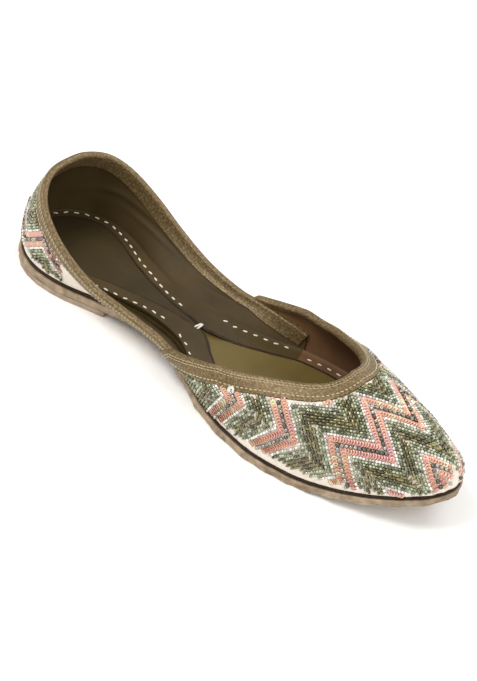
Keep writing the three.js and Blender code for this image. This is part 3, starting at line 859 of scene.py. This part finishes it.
def hand_stitches():
    places, along = [], []
    ribs = np.linspace(0, TIP, STITCH_LINE_STEPS)
    percent = column("foot", ribs) / LENGTH * 100
    for side, route in STITCH_ROWS:
        part, inset = np.array(route).T
        inside = (percent >= part[0]) & (percent <= part[-1])
        line = on_insole(ribs[inside], np.interp(percent[inside], part, inset), STITCH_RISE) * [1, side, 1]
        points, direction, _ = spaced(line, STITCH_STEP)
        places.append(points)
        along.append(direction)
    places, along = np.concatenate(places), np.concatenate(along)
    along = unit(along + rng.normal(0, STITCH_SWING, along.shape) * [1, 1, 0])
    length = rng.uniform(*STITCH_LENGTHS, len(places))
    size = np.stack([length, np.full(len(places), STITCH_HALF_WIDTH),
                     np.full(len(places), STITCH_HALF_HEIGHT)], 1)
    waist = FLANGE_MEETS / 100 * LENGTH
    crossing = np.array([[waist + shift, 0.0, seat(waist) + INSOLE + SOCK + GAP + STITCH_RISE]
                         for shift in WAIST_SHIFTS])
    places = np.concatenate([places, crossing])
    along = np.concatenate([along, WAIST_DIRECTIONS])
    size = np.concatenate([size, [WAIST_STITCH] * 2])
    up = np.tile([0.0, 0, 1.0], (len(places), 1))
    scatter("hand_stitches", barrel(8), places, along, up, size, WHITE_THREAD, "thread")


hand_stitches()


# ---------------------------------------------------------------- beadwork
CHART_LEVELS = 160
CHART_REACH = 90
INNER_RISES = (0.001, 0.999)
SLACK = 1e-6


class Chart:
    """Unrolls one part of the upper: u and v in millimetres on its surface, to points on its outer face."""

    def __init__(self, ribs, reach, outer, across):
        levels = np.linspace(0, 1, CHART_LEVELS)
        self.v = np.arange(0, CHART_REACH, 1.0)
        top = reach(ribs)
        grid, fine = np.meshgrid(ribs, levels, indexing="ij")
        rise = 1 - fine
        surface = on_last(grid, rise, outer)
        run = np.concatenate([np.zeros((len(ribs), 1)),
                              np.cumsum(np.linalg.norm(np.diff(surface, axis=1), axis=2), 1)], 1)
        run += across[:, None]
        self.points = np.full((len(ribs), len(self.v), 3), np.nan)
        self.normal = np.full_like(self.points, np.nan)
        facing = normals(grid, np.clip(rise, *INNER_RISES))
        for i in range(len(ribs)):
            inside = (self.v >= run[i, 0]) & (self.v <= run[i, -1])
            rises = np.interp(self.v, run[i], rise[i])
            inside &= rises <= top[i] + SLACK
            for k in range(3):
                self.points[i, inside, k] = np.interp(self.v[inside], run[i], surface[i, :, k])
                self.normal[i, inside, k] = np.interp(self.v[inside], run[i], facing[i, :, k])

    def find(self, u, v):
        """Points and normals at plan distances u along the shoe and v down from its ridge."""
        point, normal = np.full((len(u), 3), np.nan), np.full((len(u), 3), np.nan)
        for n, (along, down) in enumerate(zip(u, np.abs(v))):
            j = int(down)
            part = down - j
            if j + 1 >= len(self.v):
                continue
            row = self.points[:, j] * (1 - part) + self.points[:, j + 1] * part
            facing = self.normal[:, j] * (1 - part) + self.normal[:, j + 1] * part
            good = ~np.isnan(row[:, 0])
            xs = row[good, 0]
            if len(xs) < 2 or not xs[0] <= along <= xs.max():
                continue
            order = np.argsort(xs)
            side = -1 if v[n] < 0 else 1
            for k in range(3):
                mirror = side if k == 1 else 1
                point[n, k] = np.interp(along, xs[order], row[good, k][order]) * mirror
                normal[n, k] = np.interp(along, xs[order], facing[good, k][order]) * mirror
        return point, normal


# The beadwork from row to row, heel to toe: kind of bead and width of its row
BAND = [("white", 1.45), ("salmon", 2.7), ("silver", 1.9), ("salmon", 2.7), ("white", 1.45)]
GREEN = [("green", 1.45), ("green", 1.45)]
FIELD = GREEN + [("olive", 1.35)] * 3 + GREEN
WIDE_FIELD = GREEN + [("olive", 1.35)] * 4 + GREEN
BEHIND = FIELD * 2 + BAND + FIELD + BAND + WIDE_FIELD
VAMP_ROWS = BEHIND + (BAND + FIELD) * 3
HEEL_ROWS = (BAND + WIDE_FIELD) * 4
# The chevron: way round the vamp from its middle, and how far toward the toe a row lies there, in mm
CHEVRON = [(0, 0), (11, -17.5), (22, 1), (33.5, -18), (45, -6), (60, -21), (75, -8)]
CHEVRON_AT = 218.5  # middle of the third band, along the shoe
CHEVRON_MIDDLE = 2.5  # from the ridge: the panel sits a little off the middle of the shoe
STEEP = 1.89  # length along the shoe for each mm of a row's width
CLOSER = 0.22  # how much less of it at SIDE_AT from the middle, where the legs are flatter
SIDE_AT = 43.0
# Plain satin between the vamp's beads and the sole: place in % of the length, and width in mm
SATIN_STRIP = [(45, 0.6), (57, 0.8), (66, 4.4), (76, 4.4), (93, 1.2)]
HEEL_ZIG = 15.0  # half period of the heel's chevron round the shoe, and its height
KINDS = {
    "white": dict(spacing=1.45, size=(1.25, 0.68, 0.68), material=WHITE_BEAD, slot="bead"),
    "silver": dict(spacing=2.0, size=(1.75, 0.92, 0.92), material=SILVER_BEAD, slot="bead"),
    "green": dict(spacing=1.5, size=(1.3, 0.70, 0.70), material=GREEN_BEAD, slot="bead"),
    "olive": dict(spacing=3.5, size=(3.3, 0.70, 0.70), material=OLIVE_BUGLE, slot="bead"),
    "salmon": dict(spacing=1.25, size=(1.42, 1.42, 1.42), material=SALMON_SEQUIN, slot="sequin"),
}
CLEAR_OF_BINDING = 0.5
LEAN = 0.42  # how far each sequin leans on the next
STEP_AHEAD = 0.4  # mm along the chart, to find the way a row runs
ROW_STEP = 0.35
BEAD_JITTER = 0.05


def total(rows):
    return sum(width for _, width in rows)


def vamp_row(offset, v):
    from_middle = np.abs(v - CHEVRON_MIDDLE)
    spread = STEEP * (1 - CLOSER * from_middle / SIDE_AT)
    return CHEVRON_AT + np.interp(from_middle, *np.array(CHEVRON).T) + offset * spread


def heel_row(offset, v):
    return HEEL_ZIG - np.abs(np.mod(v, 2 * HEEL_ZIG) - HEEL_ZIG) + offset * math.sqrt(2)


def bead_rows(rows, first, place, reach_v):
    """Centre lines of the rows in chart sizes: kind, u and v."""
    offset = first
    v = np.arange(-reach_v, reach_v, ROW_STEP)
    for kind, width in rows:
        yield kind, place(offset + width / 2, v), v
        offset += width


def gather(found, lines, finder, allowed):
    for kind, u, v in lines:
        line = np.stack([u, v, np.zeros_like(u)], 1)
        stops, _, _ = spaced(line, KINDS[kind]["spacing"])
        stops[:, :2] += rng.normal(0, BEAD_JITTER, (len(stops), 2))
        point, normal = finder(stops[:, 0], stops[:, 1])
        climb = np.interp(stops[:, 1] + STEP_AHEAD, v, u) - np.interp(stops[:, 1], v, u)
        ahead = stops[:, :2] + np.stack([climb, np.full(len(stops), STEP_AHEAD)], 1)
        next_point, _ = finder(ahead[:, 0], ahead[:, 1])
        good = ~np.isnan(point[:, 0]) & ~np.isnan(next_point[:, 0])
        good[good] &= allowed(point[good])
        found[kind].append((point[good], unit(next_point[good] - point[good]), unit(normal[good])))


def edge_line(edge, height):
    """Points along an open edge, on both halves of the shoe."""
    line = edge.at(0.0, height)
    return np.concatenate([line, line * [1, -1, 1]])


def distance_to(line, points):
    return np.array([np.linalg.norm(line - point, axis=1).min() for point in points])


throat_line = edge_line(VAMP_EDGE, VAMP_WALL)


def clear_of_vamp_binding(points):
    near = distance_to(throat_line, points)
    above_sole = points[:, 2] - seat(points[:, 0])
    margin = np.interp(points[:, 0] / LENGTH * 100, *np.array(SATIN_STRIP).T)
    return (near > BINDING_WIDTH + CLEAR_OF_BINDING) & (above_sole > margin)


CHART_STEPS = 260
VAMP_REACH = 72.0
found = {kind: [] for kind in KINDS}
chart_ribs = np.linspace(VAMP_START, TIP, CHART_STEPS)
vamp_chart = Chart(chart_ribs, vamp_reach, VAMP_WALL, np.abs(column("half", chart_ribs)))
vamp_lines = bead_rows(VAMP_ROWS, -total(BEHIND) - total(BAND) / 2, vamp_row, VAMP_REACH)
gather(found, vamp_lines, vamp_chart.find, clear_of_vamp_binding)

# The heel: u goes up from the sole and v round the back, in millimetres.
HEEL_BEADS = 3.9  # rib where the heel's beadwork stops
HEEL_FIRST = -20.5  # where the first row starts, below the sole's edge
HEEL_STEPS = 120
HEEL_LEVEL = 0.5  # rise at which v is measured
HEEL_BARE = 0.09  # rise below which the satin is plain
HEEL_RISES = (0.01, 0.99)
heel_ribs = np.linspace(0, HEEL_BEADS, HEEL_STEPS)
heel_strides = np.linalg.norm(np.diff(on_last(heel_ribs, HEEL_LEVEL), axis=0), axis=1)
heel_round = np.concatenate([[0], np.cumsum(heel_strides)])


def find_on_heel(u, v):
    rib = np.interp(np.abs(v), heel_round, heel_ribs)
    beyond = np.abs(v) > heel_round[-1]
    foot, head = last_point(rib, 0 * rib), last_point(rib, 1 + 0 * rib)
    rise = u / np.linalg.norm(head - foot, axis=1)
    beyond |= (rise < HEEL_BARE) | (rise > 1)
    rise = np.clip(rise, *HEEL_RISES)
    side = np.where(v < 0, -1, 1)
    point, normal = on_last(rib, rise), normals(rib, rise)
    point[:, 1] *= side
    normal[:, 1] *= side
    point[beyond] = np.nan
    return point, normal


collar_line = edge_line(QUARTER_EDGE, 0.0)


def clear_of_quarter_binding(points):
    return distance_to(collar_line, points) > BINDING_WIDTH + CLEAR_OF_BINDING


gather(found, bead_rows(HEEL_ROWS, HEEL_FIRST, heel_row, heel_round[-1]), find_on_heel,
       clear_of_quarter_binding)

SEQUIN_LIFT = 0.35
BEAD_LIFT = 0.85  # of a bead's radius
SIZE_RANGE = (0.93, 1.07)

for kind, rows in found.items():
    places, along, normal = (np.concatenate([row[k] for row in rows]) for k in range(3))
    how = KINDS[kind]
    shape = disc() if kind == "salmon" else barrel(6)
    lift = SEQUIN_LIFT if kind == "salmon" else how["size"][2] * BEAD_LIFT
    places = places + normal * lift
    if kind == "salmon":
        normal = unit(normal - along * LEAN)
    vary = rng.uniform(*SIZE_RANGE, (len(places), 1))
    scatter(kind + "_beadwork", shape, places, along, normal, np.array(how["size"]) * vary,
            how["material"], how["slot"])

LOOSE_SEQUIN = (148.0, -38.6)  # along the shoe and round the vamp
LOOSE_RADIUS = 1.8
LOOSE_LIFT = 0.9
loose_place, loose_normal = vamp_chart.find(*np.array([LOOSE_SEQUIN]).T)
scatter("loose_sequin", disc(16), loose_place + loose_normal * LOOSE_LIFT, np.array([[1.0, 0, 0]]),
        unit(loose_normal), LOOSE_RADIUS, WHITE_BEAD, "sequin")

# ---------------------------------------------------------------- floor, light and camera
FLOOR_REACH = 4.0
floor_material, _, floor_shader = new_material("floor", 0.9, specular=0.1)
floor_shader.inputs["Base Color"].default_value = (0.93, 0.93, 0.92, 1)
floor_mesh = bpy.data.meshes.new("floor")
corners = [(x * FLOOR_REACH, y * FLOOR_REACH, 0) for x, y in ((-1, -1), (1, -1), (1, 1), (-1, 1))]
floor_mesh.from_pydata(corners, [], [(0, 1, 2, 3)])
floor_mesh.materials.append(floor_material)
floor = bpy.data.objects.new("floor", floor_mesh)
bpy.context.scene.collection.objects.link(floor)
floor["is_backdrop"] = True

world = bpy.data.worlds.new("studio")
world.use_nodes = True
world.node_tree.nodes["Background"].inputs["Color"].default_value = (1.0, 0.99, 0.97, 1)
world.node_tree.nodes["Background"].inputs["Strength"].default_value = 0.75
bpy.context.scene.world = world
bpy.context.scene.view_settings.view_transform = "Standard"


def soft_light(name, place, size, power):
    light = bpy.data.lights.new(name, "AREA")
    light.size = size
    light.energy = power
    lamp = bpy.data.objects.new(name, light)
    lamp.location = place
    lamp.rotation_euler = Vector(place).to_track_quat("Z", "Y").to_euler()
    bpy.context.scene.collection.objects.link(lamp)


soft_light("key", (-0.5, -0.7, 1.3), 0.6, 13)
soft_light("fill", (0.9, -0.5, 0.9), 0.9, 5)
soft_light("back", (0.1, 1.0, 1.0), 0.7, 6)

VIEW_AZIMUTH = math.radians(-58.8)  # from +X
VIEW_ELEVATION = math.radians(38.6)
VIEW_ROLL = math.radians(14.2)
VIEW_DISTANCE = 0.998
VIEW_TARGET = Vector((-0.0017, 0.0045, 0.015))
LENS = 116.8

back = Vector((math.cos(VIEW_AZIMUTH) * math.cos(VIEW_ELEVATION),
               math.sin(VIEW_AZIMUTH) * math.cos(VIEW_ELEVATION), math.sin(VIEW_ELEVATION)))
level = Vector((0, 0, 1)).cross(back).normalized()
upright = back.cross(level)
right = level * math.cos(VIEW_ROLL) + upright * math.sin(VIEW_ROLL)
above = upright * math.cos(VIEW_ROLL) - level * math.sin(VIEW_ROLL)
camera_data = bpy.data.cameras.new("camera")
camera_data.lens = LENS
camera_data.sensor_width = 36.0
camera = bpy.data.objects.new("camera", camera_data)
turn = Matrix((right, above, back)).transposed().to_4x4()
camera.matrix_world = Matrix.Translation(VIEW_TARGET + back * VIEW_DISTANCE) @ turn
bpy.context.scene.collection.objects.link(camera)
bpy.context.scene.camera = camera

bpy.context.view_layer.update()
boxes = {"cad": cad_box, "visual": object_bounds()}
plain = {name: [[float(x) for x in corner] for corner in box] for name, box in boxes.items()}
